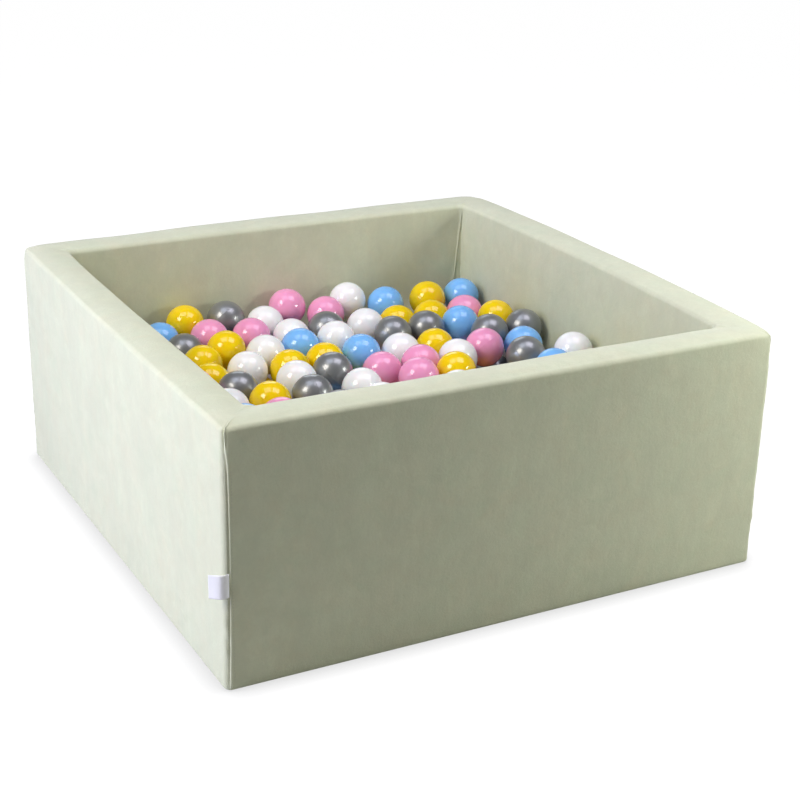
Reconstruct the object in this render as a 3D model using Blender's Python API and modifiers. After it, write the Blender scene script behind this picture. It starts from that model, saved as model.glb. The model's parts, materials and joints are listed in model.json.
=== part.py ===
"""Square foam ball pit in a fitted velvet cover, with its heap of plastic balls.

Metres, +Z up. The origin is the middle of the underside. The front wall faces -Y and the left
wall faces -X, and the two meet at the corner that carries the sewn tab.
"""

import math

import bmesh
import bpy
import numpy as np
from mathutils import Matrix, Vector
from mathutils.bvhtree import BVHTree

# Pit
PIT_WIDTH = 0.900
PIT_HEIGHT = 0.391
FOAM_WALL = 0.058
BASE_FOAM = 0.035
COVER = 0.0025
GAP = 0.0003
SEAM_GAP = 0.0003
TOP_CROWN = 0.0025
CORNER_RADIUS = 0.011
CORNER_EASE = 0.008
OUTER_EDGE_RADIUS = 0.008
INNER_EDGE_RADIUS = 0.008
BOTTOM_EDGE_RADIUS = 0.006
BOW = {"front": 0.002, "right": 0.014, "back": 0.005, "left": 0.0035}
TURN = {"front": 0.0, "right": 90.0, "back": 180.0, "left": 270.0}
STRAIGHT_STEPS = 8
TURN_STEPS = 2
COVER_EDGE_STEPS = 3
FOAM_EDGE_STEPS = 1
FOOT_STEPS = 2

# Zip along the foot of the back wall
ZIP_LENGTH = 0.720
ZIP_FOOT = 0.0112
ZIP_TAPE = 0.011
ZIP_TAPE_THICKNESS = 0.0008
ZIP_CHAIN = 0.0055
ZIP_CHAIN_THICKNESS = 0.0020
SLIDER_LENGTH = 0.013
SLIDER_PLATE = 0.0013
SLIDER_RAIL = 0.0012
BRIDGE_LENGTH = 0.0105
BRIDGE_WIDTH = 0.0024
BRIDGE_THICKNESS = 0.0012
PULL_LENGTH = 0.024
PULL_WIDTH = 0.008
PULL_THICKNESS = 0.0014
PULL_ARM = 0.0012
PULL_ROUND = 0.002
SLIDER_END_SPACE = 0.004
OVERRUN = 0.004

# Sewn tab on the seam of the front left corner
TAB_REACH = 0.031
TAB_HEIGHT = 0.036
TAB_MIDDLE_HEIGHT = 0.163
TAB_LAYER = 0.0007
TAB_HOLLOW = 0.0005
TAB_TURN = 203.0
TAB_SEAM_TURN = 250.0
TAB_STEPS = 6

# Balls
BALL_DIAMETER = 0.068
BALL_SQUASH = 0.0004
HEAP_LEVEL = 0.232
HALF_HIDDEN_DROP = 0.010
SPREAD_ROUNDS = 300
PULL_SHARE = 0.08
SINK_STEP = 0.0003
FALL_STEP = 0.004
SEAT_HALVINGS = 8
CORNER_SHARE = 1.033
BED_LAYERS = 3
NEAR_ROWS = 3
BED_SEGMENTS = 8
BED_RINGS = 4
# Where columns of lower balls carry the bed, in shares of the rows from side to side
COLUMN_SHARES = ((0.1, 0.3), (0.1, 0.8), (0.8, 0.3), (0.8, 0.8))

# Sight lines of the photograph, which is 800 pixels square
VIEW_DISTANCE = 2.7096
VIEW_TARGET_X = 0.0299
VIEW_TARGET_Y = -0.0391
VIEW_TARGET_Z = 0.200
VIEW_TURN = 28.45
VIEW_FALL = 21.62
VIEW_ROLL = 1.35
MIDDLE_PIXEL = 400
FOCAL_PIXELS = 1647

# Balls that can be picked out one by one: colour, then the pixel of the middle
LOOSE_BALLS = (
    ("yellow", 426, 294),
    ("pink", 311, 298),
    ("blue", 382, 299),
    ("white", 345, 302),
    ("pink", 460, 311),
    ("pink", 276, 311),
    ("yellow", 499, 313),
    ("yellow", 433, 314),
    ("white", 295, 320),
    ("silver", 422, 326),
    ("silver", 539, 326),
    ("blue", 464, 328),
    ("pink", 246, 328),
    ("white", 376, 331),
    ("white", 332, 336),
    ("silver", 501, 341),
    ("blue", 360, 347),
    ("pink", 473, 348),
    ("yellow", 226, 348),
    ("silver", 185, 349),
    ("silver", 524, 351),
    ("white", 268, 352),
    ("yellow", 307, 355),
    ("white", 578, 356),
    ("pink", 426, 362),
    ("silver", 327, 367),
    ("white", 245, 368),
    ("pink", 388, 370),
    ("yellow", 285, 373),
    ("pink", 423, 376),
    ("pink", 201, 383),
    ("white", 453, 384),
    ("white", 298, 386),
    ("white", 356, 387),
    ("white", 377, 397),
    ("silver", 312, 402),
    ("silver", 338, 404),
    ("yellow", 263, 407),
    ("blue", 245, 415),
    ("pink", 273, 415),
)

# Balls that show only in part between those, as pixels of their middles
HALF_HIDDEN_BALLS = (
    (462, 303),
    (406, 325),
    (232, 328),
    (321, 328),
    (259, 331),
    (400, 335),
    (524, 337),
    (157, 338),
    (186, 342),
    (439, 344),
    (201, 345),
    (289, 352),
    (398, 354),
    (213, 359),
    (459, 361),
    (551, 363),
    (457, 375),
    (495, 380),
    (209, 382),
    (232, 398),
    (233, 411),
)

# Balls behind the left wall, in shares of half the free floor: across, then back
UNSEEN_BALL_SHARES = (
    (-0.96, -0.27),
    (-0.95, 0.02),
    (-0.98, 0.24),
    (-0.95, 0.48),
    (-0.80, 0.68),
    (-0.98, 0.88),
)

HALF_SIDE = PIT_WIDTH / 2
WALL = FOAM_WALL + 2 * (COVER + GAP)
BASE_BOTTOM = COVER + GAP
BASE_TOP = BASE_BOTTOM + BASE_FOAM + GAP + COVER
EDGE_HEIGHT = PIT_HEIGHT - TOP_CROWN
INNER_HALF = HALF_SIDE - WALL
BALL_RADIUS = BALL_DIAMETER / 2
BALL_CORNER = BALL_RADIUS * CORNER_SHARE

COLOURS = {
    "velvet": (0.56, 0.58, 0.46, 0.85, 0.0),
    "foam": (0.88, 0.87, 0.80, 0.95, 0.0),
    "lining": (0.50, 0.52, 0.42, 0.90, 0.0),
    "tab": (0.90, 0.91, 0.92, 0.80, 0.0),
    "zip_tape": (0.55, 0.57, 0.46, 0.85, 0.0),
    "zip_chain": (0.48, 0.50, 0.40, 0.45, 0.0),
    "zip_metal": (0.55, 0.56, 0.55, 0.30, 1.0),
    "white": (0.88, 0.88, 0.86, 0.15, 0.0),
    "pink": (0.80, 0.24, 0.45, 0.15, 0.0),
    "yellow": (0.85, 0.56, 0.01, 0.15, 0.0),
    "blue": (0.22, 0.50, 0.86, 0.15, 0.0),
    "silver": (0.36, 0.37, 0.37, 0.30, 0.5),
}


def clear_scene():
    for thing in list(bpy.data.objects):
        bpy.data.objects.remove(thing)


def new_collection(name):
    collection = bpy.data.collections.new(name)
    bpy.context.scene.collection.children.link(collection)
    return collection


def make_material(name, red, green, blue, roughness, metallic):
    material = bpy.data.materials.new(name)
    material.use_nodes = True
    shader = material.node_tree.nodes["Principled BSDF"]
    shader.inputs["Base Color"].default_value = (red, green, blue, 1)
    shader.inputs["Roughness"].default_value = roughness
    shader.inputs["Metallic"].default_value = metallic
    material.diffuse_color = (red, green, blue, 1)
    return material


class Build:
    """The collections, the materials and the frame of each wall."""

    def __init__(self):
        self.parts = new_collection("ball_pit")
        self.cutters = new_collection("cutters")
        self.materials = {name: make_material(name, *look) for name, look in COLOURS.items()}
        self.walls = {name: self.wall_frame(name) for name in TURN}

    def wall_frame(self, side):
        """An empty turned so that this wall faces -Y in its own frame."""
        frame = bpy.data.objects.new("frame_" + side, None)
        frame.rotation_euler.z = math.radians(TURN[side])
        self.parts.objects.link(frame)
        return frame

    def add(self, name, mesh, look, parent=None, place=(0, 0, 0)):
        thing = bpy.data.objects.new(name, mesh)
        thing.data.materials.clear()
        thing.data.materials.append(self.materials[look])
        thing.location = place
        thing.parent = parent
        self.parts.objects.link(thing)
        return thing

    def add_cutter(self, name, mesh, parent=None, place=(0, 0, 0)):
        cutter = bpy.data.objects.new(name, mesh)
        cutter.location = place
        cutter.parent = parent
        cutter.hide_render = True
        cutter.display_type = "WIRE"
        self.cutters.objects.link(cutter)
        return cutter


def mesh_from(bm, name, smooth_angle=None):
    mesh = bpy.data.meshes.new(name)
    bm.to_mesh(mesh)
    bm.free()
    if smooth_angle is not None:
        mesh.shade_smooth()
        mesh.set_sharp_from_angle(angle=math.radians(smooth_angle))
    return mesh


def box_mesh(name, size_x, size_y, size_z):
    bm = bmesh.new()
    bmesh.ops.create_cube(bm, size=1)
    bmesh.ops.scale(bm, vec=(size_x, size_y, size_z), verts=bm.verts)
    return mesh_from(bm, name)


def bevel(thing, width, segments):
    modifier = thing.modifiers.new("soft_edges", "BEVEL")
    modifier.width = width
    modifier.segments = segments
    modifier.limit_method = "ANGLE"
    modifier.harden_normals = False
    return modifier


def boolean(thing, operation, operand=None, group=None):
    modifier = thing.modifiers.new(operation.lower(), "BOOLEAN")
    modifier.operation = operation
    modifier.solver = "EXACT"
    if group is not None:
        modifier.operand_type = "COLLECTION"
        modifier.collection = group
    else:
        modifier.object = operand


def plain_mesh(thing):
    """The mesh of an object as its modifiers or its curve leave it."""
    bpy.context.view_layer.update()
    graph = bpy.context.evaluated_depsgraph_get()
    return bpy.data.meshes.new_from_object(thing.evaluated_get(graph))


def flat_mesh(name, outlines, thickness):
    """A plate from flat outlines, the first the rim and the others holes, centred on z = 0."""
    curve = bpy.data.curves.new(name, "CURVE")
    curve.dimensions = "2D"
    curve.fill_mode = "BOTH"
    curve.extrude = thickness / 2
    for outline in outlines:
        spline = curve.splines.new("POLY")
        spline.points.add(len(outline) - 1)
        spline.use_cyclic_u = True
        for point, (x, y) in zip(spline.points, outline):
            point.co = (x, y, 0, 1)
    guide = bpy.data.objects.new(name, curve)
    bpy.context.scene.collection.objects.link(guide)
    mesh = plain_mesh(guide)
    bpy.data.objects.remove(guide)
    bm = bmesh.new()
    bm.from_mesh(mesh)
    bmesh.ops.remove_doubles(bm, verts=bm.verts, dist=GAP / 100)
    bmesh.ops.recalc_face_normals(bm, faces=bm.faces)
    return mesh_from(bm, name)


# Walls: a wall is drawn as seen from outside, and its depth runs into the pit from its face


def bow(side, along, depth, height):
    """How far the wall leans out: most in the middle of its top, nothing beside the base."""
    rise = max(0.0, height - BASE_TOP) / (PIT_HEIGHT - BASE_TOP)
    return BOW[side] * (1 - (along / (HALF_SIDE - depth)) ** 2) * rise


def wall_point(side, along, depth, height):
    """The place of a point in the wall's own frame, rounded off near the upright corners."""
    x = along
    y = depth - HALF_SIDE
    radius = CORNER_RADIUS - depth
    beyond = abs(along) - (HALF_SIDE - CORNER_RADIUS)
    if radius > 0 and beyond > 0:
        angle = math.radians(45) * min(1.0, beyond / radius)
        x = math.copysign(HALF_SIDE - CORNER_RADIUS + radius * math.sin(angle), along)
        y = CORNER_RADIUS - HALF_SIDE - radius * math.cos(angle)
    return Vector((x * (1 - SEAM_GAP / HALF_SIDE), y - bow(side, along, depth, height), height))


def stations(depth):
    """Places along the wall at one depth, out to the mitre at both ends."""
    end = HALF_SIDE - depth
    turn = HALF_SIDE - max(CORNER_RADIUS, depth + CORNER_EASE)
    straight = [turn * (2 * step / STRAIGHT_STEPS - 1) for step in range(STRAIGHT_STEPS + 1)]
    ends = [turn + (end - turn) * (step + 1) / TURN_STEPS for step in range(TURN_STEPS)]
    return [-place for place in reversed(ends)] + straight + ends


def arc(middle_depth, middle_height, radius, first, last, steps):
    """Points of a rounded edge with the direction each one faces: 0 is out, 90 is up."""
    points = []
    for step in range(steps + 1):
        angle = math.radians(first + (last - first) * step / steps)
        depth = middle_depth - radius * math.cos(angle)
        height = middle_height + radius * math.sin(angle)
        points.append((depth, height, angle))
    return points


def wall_profile(inset, steps):
    """Depth and height along the wall's section, from its foot outside to its foot inside."""
    outer = EDGE_HEIGHT - OUTER_EDGE_RADIUS
    inner = EDGE_HEIGHT - INNER_EDGE_RADIUS
    points = arc(BOTTOM_EDGE_RADIUS, BOTTOM_EDGE_RADIUS, BOTTOM_EDGE_RADIUS, -90, 0, FOOT_STEPS)
    points.append((0.0, BASE_TOP, 0.0))
    points += arc(OUTER_EDGE_RADIUS, outer, OUTER_EDGE_RADIUS, 0, 90, steps)
    points.append((WALL / 2, PIT_HEIGHT, math.radians(90)))
    points += arc(WALL - INNER_EDGE_RADIUS, inner, INNER_EDGE_RADIUS, 90, 180, steps)
    points.append((WALL, BASE_TOP, math.radians(180)))
    points.append((WALL, BASE_BOTTOM, math.radians(180)))
    return [
        (depth + inset * math.cos(angle), height - inset * math.sin(angle))
        for depth, height, angle in points
    ]


def loft_mesh(name, side, section):
    """A solid drawn through the same closed section at each station along the wall."""
    bm = bmesh.new()
    rows = []
    for depth, height in section:
        rows.append([bm.verts.new(wall_point(side, along, depth, height)) for along in stations(depth)])
    for row, following in zip(rows, rows[1:] + rows[:1]):
        low, high = sorted((row, following), key=lambda line: line[0].co.z)
        for first in range(len(row) - 1):
            bm.faces.new((low[first], low[first + 1], high[first + 1]))
            bm.faces.new((low[first], high[first + 1], high[first]))
    bm.faces.new([row[0] for row in rows])
    bm.faces.new([row[-1] for row in reversed(rows)])
    bmesh.ops.recalc_face_normals(bm, faces=bm.faces)
    return mesh_from(bm, name, smooth_angle=50)


def build_walls(build):
    for side, frame in build.walls.items():
        skin = wall_profile(0.0, COVER_EDGE_STEPS) + wall_profile(COVER, COVER_EDGE_STEPS)[::-1]
        core = wall_profile(COVER + GAP, FOAM_EDGE_STEPS)
        name = "cover_" + side
        build.add(name, loft_mesh(name, side, skin), "velvet", frame)
        name = "foam_wall_" + side
        build.add(name, loft_mesh(name, side, core), "foam", frame)


def build_base(build):
    """The base foam, the floor panel over it and the underside panel that closes the cover."""
    inside = 2 * (INNER_HALF - GAP)
    middle = BASE_BOTTOM + BASE_FOAM / 2
    mesh = box_mesh("foam_base", inside, inside, BASE_FOAM)
    build.add("foam_base", mesh, "foam", place=(0, 0, middle))
    mesh = box_mesh("cover_floor", inside, inside, COVER)
    build.add("cover_floor", mesh, "velvet", place=(0, 0, BASE_TOP - COVER / 2))
    under = 2 * (HALF_SIDE - BOTTOM_EDGE_RADIUS - GAP)
    mesh = box_mesh("cover_underside", under, under, COVER)
    bm = bmesh.new()
    bm.from_mesh(mesh)
    upright = [edge for edge in bm.edges if abs(edge.verts[0].co.z - edge.verts[1].co.z) > COVER / 2]
    bmesh.ops.bevel(
        bm,
        geom=upright,
        offset=CORNER_RADIUS - BOTTOM_EDGE_RADIUS,
        offset_type="OFFSET",
        segments=2 * TURN_STEPS,
        profile=0.5,
        affect="EDGES",
    )
    mesh = mesh_from(bm, "cover_underside")
    build.add("cover_underside", mesh, "lining", place=(0, 0, COVER / 2))


# Zip


def zip_height(share_of_tapes, share_of_chain):
    return ZIP_FOOT + share_of_tapes * ZIP_TAPE + share_of_chain * ZIP_CHAIN


def build_zip(build):
    """Two tapes and two rows of teeth in a slot of the back panel, with a slider and its pull."""
    frame = build.walls["back"]
    slot_depth = 2 * OVERRUN
    slot_height = 2 * ZIP_TAPE + ZIP_CHAIN + 2 * GAP
    middle_height = zip_height(1, 0.5)
    slot = build.add_cutter(
        "zip_slot",
        box_mesh("zip_slot", ZIP_LENGTH + 2 * GAP, slot_depth, slot_height),
        frame,
        (0, -HALF_SIDE, middle_height),
    )
    boolean(build.parts.objects["cover_back"], "DIFFERENCE", slot)
    sheet = COVER / 2 - HALF_SIDE
    for name, tapes in (("zip_tape_lower", 0.5), ("zip_tape_upper", 1.5)):
        chain = 1 if tapes > 1 else 0
        mesh = box_mesh(name, ZIP_LENGTH, ZIP_TAPE_THICKNESS, ZIP_TAPE - GAP)
        build.add(name, mesh, "zip_tape", frame, (0, sheet, zip_height(tapes, chain)))
    for name, share in (("zip_teeth_lower", 0.25), ("zip_teeth_upper", 0.75)):
        mesh = box_mesh(name, ZIP_LENGTH, ZIP_CHAIN_THICKNESS, ZIP_CHAIN / 2 - GAP)
        build.add(name, mesh, "zip_chain", frame, (0, sheet, zip_height(1, share)))
    build_slider(build, frame, middle_height)


def slider_place(middle_height):
    """Where the pull's bar turns, in front of the closed end of the chain."""
    along = ZIP_LENGTH / 2 - SLIDER_LENGTH / 2 - SLIDER_END_SPACE
    plate = COVER / 2 - HALF_SIDE - ZIP_CHAIN_THICKNESS / 2 - GAP - SLIDER_PLATE
    return along, plate, middle_height


def build_slider(build, frame, middle_height):
    along, plate, height = slider_place(middle_height)
    bar = PULL_THICKNESS * math.sqrt(0.5) + GAP
    holder = bpy.data.objects.new("slider_axis", None)
    holder.location = (along, plate - bar, height)
    holder.parent = frame
    build.parts.objects.link(holder)

    rail_outside = ZIP_CHAIN / 2 + GAP + SLIDER_RAIL
    mesh = box_mesh("zip_slider", SLIDER_LENGTH, SLIDER_PLATE, 2 * rail_outside)
    slider = build.add("zip_slider", mesh, "zip_metal", holder, (0, bar + SLIDER_PLATE / 2, 0))
    bevel(slider, SLIDER_PLATE / 4, 1)
    rails = new_collection("slider_rails")
    rail_depth = ZIP_CHAIN_THICKNESS / 2 - ZIP_TAPE_THICKNESS / 2
    for sign in (-1, 1):
        mesh = box_mesh("rail", SLIDER_LENGTH * 0.8, SLIDER_PLATE / 2 + rail_depth, SLIDER_RAIL)
        rail = build.add_cutter("slider_rail", mesh, holder)
        rail.location.y = bar + SLIDER_PLATE / 2 + (SLIDER_PLATE / 2 + rail_depth) / 2
        rail.location.z = sign * (rail_outside - SLIDER_RAIL / 2)
        rails.objects.link(rail)
        mesh = box_mesh("post", BRIDGE_THICKNESS, 2 * bar + SLIDER_PLATE / 2, BRIDGE_WIDTH)
        post = build.add_cutter("bridge_post", mesh, holder)
        post.location.x = sign * (BRIDGE_LENGTH - BRIDGE_THICKNESS) / 2
        post.location.y = SLIDER_PLATE / 4
        rails.objects.link(post)
    mesh = box_mesh("bridge", BRIDGE_LENGTH, BRIDGE_THICKNESS, BRIDGE_WIDTH)
    top = build.add_cutter("bridge_bar", mesh, holder, (0, -bar - BRIDGE_THICKNESS / 4, 0))
    rails.objects.link(top)
    boolean(slider, "UNION", group=rails)
    build_pull(build, holder)


def build_pull(build, holder):
    """A paddle whose bar passes under the slider's bridge and turns there."""
    half_bar = PULL_THICKNESS / 2
    eye = BRIDGE_WIDTH / 2 + GAP
    neck = BRIDGE_LENGTH / 2 + 2 * GAP
    arm = eye + PULL_ARM
    broad = PULL_WIDTH / 2
    rim = [
        (half_bar, -arm),
        (half_bar, arm),
        (-neck, arm),
        (-neck - PULL_ROUND, broad),
        (PULL_ROUND - PULL_LENGTH, broad),
        (-PULL_LENGTH, broad - PULL_ROUND),
        (-PULL_LENGTH, PULL_ROUND - broad),
        (PULL_ROUND - PULL_LENGTH, -broad),
        (-neck - PULL_ROUND, -broad),
        (-neck, -arm),
    ]
    hole = [(-half_bar, -eye), (-half_bar, eye), (-neck, eye), (-neck, -eye)]
    pull = build.add("zip_pull", flat_mesh("zip_pull", [rim, hole], PULL_THICKNESS), "zip_metal", holder)
    pull.rotation_euler.x = math.radians(90)


# Tab


def tab_outline(half_thickness, reach, ease):
    """A flattened loop seen from above, with its fold at the far end."""
    outline = [(ease, -half_thickness), (reach - half_thickness, -half_thickness)]
    for step in range(1, TAB_STEPS):
        angle = math.radians(180 * step / TAB_STEPS - 90)
        x = reach - half_thickness + half_thickness * math.cos(angle)
        outline.append((x, half_thickness * math.sin(angle)))
    return outline + [(reach - half_thickness, half_thickness), (ease, half_thickness)]


def build_tab(build):
    """A bare folded tab that stands out of the corner seam on an upright hinge line."""
    middle = CORNER_RADIUS - HALF_SIDE
    reach = CORNER_RADIUS + TAB_LAYER + GAP
    seam = math.radians(TAB_SEAM_TURN)
    hinge = bpy.data.objects.new("tab_hinge", None)
    hinge.location = (
        middle + reach * math.cos(seam),
        middle + reach * math.sin(seam),
        TAB_MIDDLE_HEIGHT,
    )
    hinge.rotation_euler.z = math.radians(TAB_TURN)
    build.parts.objects.link(hinge)
    outside = TAB_LAYER + TAB_HOLLOW / 2
    rim = tab_outline(outside, TAB_REACH, 0.0)
    hole = tab_outline(TAB_HOLLOW / 2, TAB_REACH - TAB_LAYER, TAB_LAYER)
    build.add("sewn_tab", flat_mesh("sewn_tab", [rim, hole], TAB_HEIGHT), "tab", hinge)


# Balls


def ball_mesh(name):
    bm = bmesh.new()
    bmesh.ops.create_icosphere(bm, subdivisions=2, radius=BALL_CORNER)
    return mesh_from(bm, name, smooth_angle=60)


def sight_line(pixel_across, pixel_down):
    """Start and direction of the line of sight through one pixel of the photograph."""
    turn = math.radians(VIEW_TURN)
    fall = math.radians(VIEW_FALL)
    ahead = Vector((math.sin(turn) * math.cos(fall), math.cos(turn) * math.cos(fall), -math.sin(fall)))
    across = Vector((math.cos(turn), -math.sin(turn), 0))
    up = across.cross(ahead)
    tilt = Matrix.Rotation(-math.radians(VIEW_ROLL), 3, ahead)
    across = tilt @ across
    up = tilt @ up
    eye = Vector((VIEW_TARGET_X, VIEW_TARGET_Y, VIEW_TARGET_Z)) - ahead * VIEW_DISTANCE
    right = (pixel_across - MIDDLE_PIXEL) / FOCAL_PIXELS
    down = (pixel_down - MIDDLE_PIXEL) / FOCAL_PIXELS
    return eye, ahead + across * right - up * down


def inside_walls(place):
    """The nearest place where a ball stands clear of all four walls."""
    height = place[2] - BALL_RADIUS
    free = INNER_HALF - BALL_CORNER - 2 * GAP
    x = min(place[0], free + bow("right", place[1], WALL, height))
    x = max(x, -free - bow("left", place[1], WALL, height))
    y = min(place[1], free + bow("back", x, WALL, height))
    y = max(y, -free - bow("front", x, WALL, height))
    return Vector((x, y, place[2]))


def pushes(places, others, reach):
    """For each place, the sum of the steps that take it clear of the others."""
    offsets = places[:, None] - others[None]
    distances = np.linalg.norm(offsets, axis=2)
    distances[distances == 0] = reach
    overlaps = np.clip(reach - distances, 0, None) / distances
    return (offsets * overlaps[:, :, None]).sum(axis=1)


def spread(aims, lines, bed):
    """Let balls sink on the bed near their lines, and push them apart seen from above.

    The lines pull less and less, so that in the end every ball can be lifted straight out.
    """
    places = aims.copy()
    for step in range(SPREAD_ROUNDS):
        pull = aims - places
        pull -= lines * (pull * lines).sum(axis=1)[:, None]
        places += pull * PULL_SHARE * (1 - step / SPREAD_ROUNDS)
        places[:, 2] -= SINK_STEP
        places += pushes(places, bed, BALL_DIAMETER)
        from_above = places * (1, 1, 0)
        places += pushes(from_above, from_above, 2 * (BALL_CORNER + GAP)) / 2
        places = np.array([inside_walls(place) for place in places])
    return places


class Heap:
    """Balls that have come to rest, and the search for where the next one does."""

    def __init__(self):
        self.resting = []

    def tree(self, mesh, place, scale=1.0):
        corners = [place + vert.co * scale for vert in mesh.vertices]
        return BVHTree.FromPolygons(corners, [list(face.vertices) for face in mesh.polygons])

    def rest(self, mesh, place=Vector()):
        self.resting.append(self.tree(mesh, place))

    def is_clear(self, mesh, place, scale):
        if place.z < BASE_TOP + BALL_CORNER * scale:
            return False
        trial = self.tree(mesh, place, scale)
        return not any(trial.overlap(other) for other in self.resting)

    def settle(self, mesh, place, margin):
        """Let a ball down until it is within the margin of what lies there."""
        scale = 1 + margin / BALL_RADIUS
        place = Vector((place[0], place[1], PIT_HEIGHT + BALL_DIAMETER))
        down = Vector((0, 0, -FALL_STEP))
        while self.is_clear(mesh, place + down, scale):
            place += down
        for _ in range(SEAT_HALVINGS):
            down /= 2
            if self.is_clear(mesh, place + down, scale):
                place += down
        self.rest(mesh, place)
        return place


def bed_places():
    """Middles of the joined lower balls, and their radius.

    They lie in square rows from wall to wall and touch, and the rows behind the front wall lie
    one layer higher. Below them only a few columns are kept, each ball in the hollow between
    four of the layer over it.
    """
    count = math.floor((INNER_HALF - GAP) * 2 / BALL_DIAMETER)
    radius = (INNER_HALF - GAP + (count - 1) * BALL_SQUASH) / count
    pitch = 2 * (radius - BALL_SQUASH)
    rise = pitch * math.sqrt(0.5)
    lowest = BASE_TOP + GAP + radius
    first = radius + GAP - INNER_HALF

    def place(column, row, layer):
        return Vector((first + column * pitch, first + row * pitch, lowest + layer * rise))

    places = []
    for column in range(count):
        places += [place(column, row, BED_LAYERS - 1) for row in range(NEAR_ROWS, count)]
        places += [place(column, row + 1 - math.sqrt(0.5), BED_LAYERS) for row in range(NEAR_ROWS)]
    for share_across, share_back in COLUMN_SHARES:
        column = round(share_across * (count - 1))
        row = round(share_back * (count - 1))
        for layer in range(BED_LAYERS - 1):
            shift = (BED_LAYERS - 1 - layer) % 2 / 2
            places.append(place(column + shift, row + shift, layer))
    return places, radius


def bed_ball_mesh(radius):
    bm = bmesh.new()
    bmesh.ops.create_uvsphere(bm, u_segments=BED_SEGMENTS, v_segments=BED_RINGS, radius=radius)
    return mesh_from(bm, "bed_ball")


def join_balls(build, name, balls):
    """One mesh from balls that touch, the first of them the one that the others join."""
    group = new_collection(name + "_balls")
    mesh, place = balls[0]
    first = build.add_cutter(name + "_first", mesh, place=place)
    for mesh, place in balls[1:]:
        group.objects.link(build.add_cutter(name + "_ball", mesh, place=place))
    boolean(first, "UNION", group=group)
    joined = plain_mesh(first)
    joined.transform(first.matrix_world)
    return joined


def aims():
    """Where the balls of the photograph and the unseen ones start, and the lines they keep to."""
    starts = []
    lines = []
    levels = [HEAP_LEVEL] * len(LOOSE_BALLS) + [HEAP_LEVEL - HALF_HIDDEN_DROP] * len(HALF_HIDDEN_BALLS)
    pixels = [ball[1:] for ball in LOOSE_BALLS] + list(HALF_HIDDEN_BALLS)
    for pixel, level in zip(pixels, levels):
        eye, line = sight_line(*pixel)
        starts.append(inside_walls(eye + line * ((level - eye.z) / line.z)))
        lines.append(line.normalized())
    free = INNER_HALF - BALL_CORNER
    for share_across, share_back in UNSEEN_BALL_SHARES:
        starts.append(inside_walls((share_across * free, share_back * free, HEAP_LEVEL)))
        lines.append(Vector((0, 0, -1)))
    return np.array(starts), np.array(lines)


def build_balls(build):
    round_mesh = ball_mesh("ball")
    bed_spots, radius = bed_places()
    lower_mesh = bed_ball_mesh(radius)
    lower = [(lower_mesh, place) for place in bed_spots]
    heap = Heap()
    heap.rest(join_balls(build, "rows", lower))

    starts, lines = aims()
    spots = spread(starts, lines, np.array(bed_spots))
    loose = sorted(zip(LOOSE_BALLS, spots), key=lambda ball: ball[1][2])
    spots = spots[len(LOOSE_BALLS):]
    half_hidden = [(round_mesh, spot) for spot in spots[:len(HALF_HIDDEN_BALLS)]]
    unseen = [(lower_mesh, spot) for spot in spots[len(HALF_HIDDEN_BALLS):]]
    joined = []
    for mesh, spot in sorted(half_hidden + unseen, key=lambda ball: ball[1][2]):
        joined.append((mesh, heap.settle(mesh, spot, -BALL_SQUASH)))
    bed = join_balls(build, "bed", lower + joined)
    bed.shade_smooth()
    bed.set_sharp_from_angle(angle=math.radians(60))
    build.add("ball_bed", bed, "white")

    counts = {}
    for (colour, _, _), spot in loose:
        place = heap.settle(round_mesh, spot, GAP)
        counts[colour] = counts.get(colour, 0) + 1
        name = "ball_{}_{:02d}".format(colour, counts[colour])
        build.add(name, round_mesh.copy(), colour, place=place)


def main():
    clear_scene()
    build = Build()
    build_walls(build)
    build_base(build)
    build_zip(build)
    build_tab(build)
    build_balls(build)
    bpy.context.view_layer.update()


main()
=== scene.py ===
import json
import math

import bmesh
import bpy
import numpy as np
from mathutils import Matrix, Vector


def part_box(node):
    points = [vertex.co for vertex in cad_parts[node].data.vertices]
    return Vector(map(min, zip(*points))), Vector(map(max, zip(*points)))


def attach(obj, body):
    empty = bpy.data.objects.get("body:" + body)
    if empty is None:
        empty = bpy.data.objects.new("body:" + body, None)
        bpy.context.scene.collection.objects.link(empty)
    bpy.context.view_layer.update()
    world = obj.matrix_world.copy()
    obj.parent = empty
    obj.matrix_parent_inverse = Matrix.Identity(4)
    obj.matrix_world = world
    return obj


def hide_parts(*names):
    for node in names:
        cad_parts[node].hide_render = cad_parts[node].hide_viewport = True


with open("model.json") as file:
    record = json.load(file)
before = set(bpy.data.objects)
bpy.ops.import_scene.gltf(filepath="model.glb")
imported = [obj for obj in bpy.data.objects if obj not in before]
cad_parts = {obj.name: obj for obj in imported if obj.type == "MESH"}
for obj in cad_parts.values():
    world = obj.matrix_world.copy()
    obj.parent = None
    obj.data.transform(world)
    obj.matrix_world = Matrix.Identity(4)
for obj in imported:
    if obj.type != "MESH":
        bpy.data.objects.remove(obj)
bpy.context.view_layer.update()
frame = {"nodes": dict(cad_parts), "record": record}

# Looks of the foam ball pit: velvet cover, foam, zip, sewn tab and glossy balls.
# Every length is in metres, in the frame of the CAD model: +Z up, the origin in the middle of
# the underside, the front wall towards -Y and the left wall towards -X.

# Sizes of the pit, as in the CAD model
HALF_SIDE = 0.450
HEIGHT = 0.391
COVER = 0.0025
WALL = 0.0636
FOAM_INSET = 0.0028
BASE_TOP = 0.0406
BASE_BOTTOM = 0.0028
CROWN = 0.0025
CORNER_RADIUS = 0.011
CORNER_EASE = 0.014
OUTER_EDGE = 0.008
INNER_EDGE = 0.008
FOOT_EDGE = 0.006
INNER_HALF = HALF_SIDE - WALL
BOW = {"front": 0.002, "right": 0.014, "back": 0.005, "left": 0.0035}
TURN = {"front": 0, "right": 90, "back": 180, "left": 270}
BALL_RADIUS = 0.034

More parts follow.
